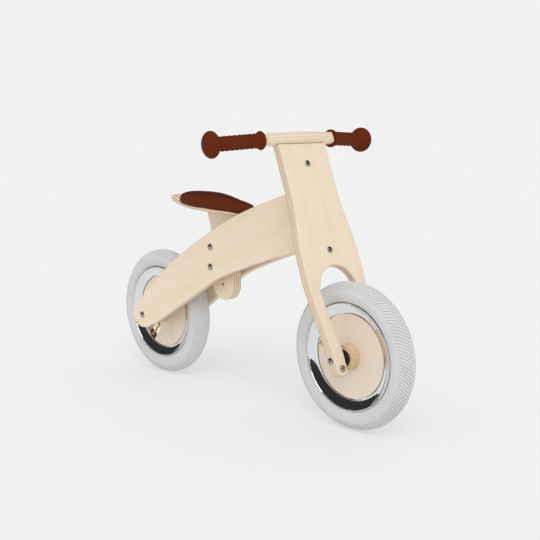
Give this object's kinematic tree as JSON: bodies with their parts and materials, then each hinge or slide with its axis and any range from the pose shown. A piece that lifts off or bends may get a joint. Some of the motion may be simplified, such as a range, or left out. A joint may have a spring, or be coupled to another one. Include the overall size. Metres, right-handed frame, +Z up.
{
  "type": "balance bike",
  "caption": "Child's balance bike with bowed plywood frame arms, a one-piece fork board, disc wheels with pneumatic tyres and a padded saddle.",
  "frame": {"origin": "on the floor under the middle of the bike, midway between the two axles", "axes": "+X forward, +Y to the rider's left, +Z up"},
  "size_m": [0.815, 0.4164, 0.5355],
  "materials": {
    "birch_ply": "clear satin lacquer on birch plywood",
    "hardwood": "clear satin lacquer on turned or planed beech",
    "steel": "zinc plated steel",
    "chrome": "polished chrome plate",
    "tyre_rubber": "pale grey rubber with a fine tread",
    "inner_rubber": "plain black rubber",
    "black_nylon": "matt turned nylon",
    "brass": "plain brass",
    "grip_rubber": "rust brown ringed rubber",
    "saddle_leather": "rust brown smooth leather with a fine grain"
  },
  "bodies": {
    "frame": {"frame_arm_right": "birch_ply", "frame_arm_left": "birch_ply", "head_block": "hardwood", "head_dowels": "hardwood", "head_bush_upper": "black_nylon", "head_bush_lower": "black_nylon", "rear_axle": "steel", "rear_axle_bolts": "steel", "rear_axle_washers": "steel", "seat_post": "birch_ply", "seat_spacers": "steel", "seat_bolts": "steel", "seat_sleeve_nuts": "steel", "saddle_base": "birch_ply", "saddle_screws": "steel", "saddle_cushion": "saddle_leather"},
    "steering": {"steering_post": "steel", "fork_board": "birch_ply", "fork_block_upper": "hardwood", "fork_block_lower": "hardwood", "fork_bolts": "steel", "fork_tip_bolts": "steel", "handlebar": "birch_ply", "handlebar_screws": "steel", "handlebar_dowels": "hardwood", "grip_right": "grip_rubber", "grip_left": "grip_rubber", "front_axle": "steel", "front_axle_bolts": "steel", "front_axle_washers": "steel"},
    "front_wheel": {"front_tyre": "tyre_rubber", "front_inner_tube": "inner_rubber", "front_rim_tape": "inner_rubber", "front_rim": "chrome", "front_rim_screws": "steel", "front_wheel_disc": "birch_ply", "front_hub_spacers": "hardwood", "front_hub_bushes": "black_nylon", "front_valve_stem": "brass", "front_valve_nut": "brass", "front_valve_cap": "brass"},
    "rear_wheel": {"rear_tyre": "tyre_rubber", "rear_inner_tube": "inner_rubber", "rear_rim_tape": "inner_rubber", "rear_rim": "chrome", "rear_rim_screws": "steel", "rear_wheel_disc": "birch_ply", "rear_hub_spacers": "hardwood", "rear_hub_bushes": "black_nylon", "rear_valve_stem": "brass", "rear_valve_nut": "brass", "rear_valve_cap": "brass"}
  },
  "joints": [
    {"name": "steering_turn", "type": "hinge", "parent": "frame", "child": "steering", "pos_m": [0.14949, 0, 0.36979], "axis": [-0.3502, 0, 0.9367], "range_deg": [-38, 38]},
    {"name": "front_wheel_spin", "type": "hinge", "parent": "steering", "child": "front_wheel", "pos_m": [0.2725, 0, 0.135], "axis": [0, 1, 0], "continuous": true},
    {"name": "rear_wheel_spin", "type": "hinge", "parent": "frame", "child": "rear_wheel", "pos_m": [-0.2725, 0, 0.135], "axis": [0, 1, 0], "continuous": true}
  ]
}
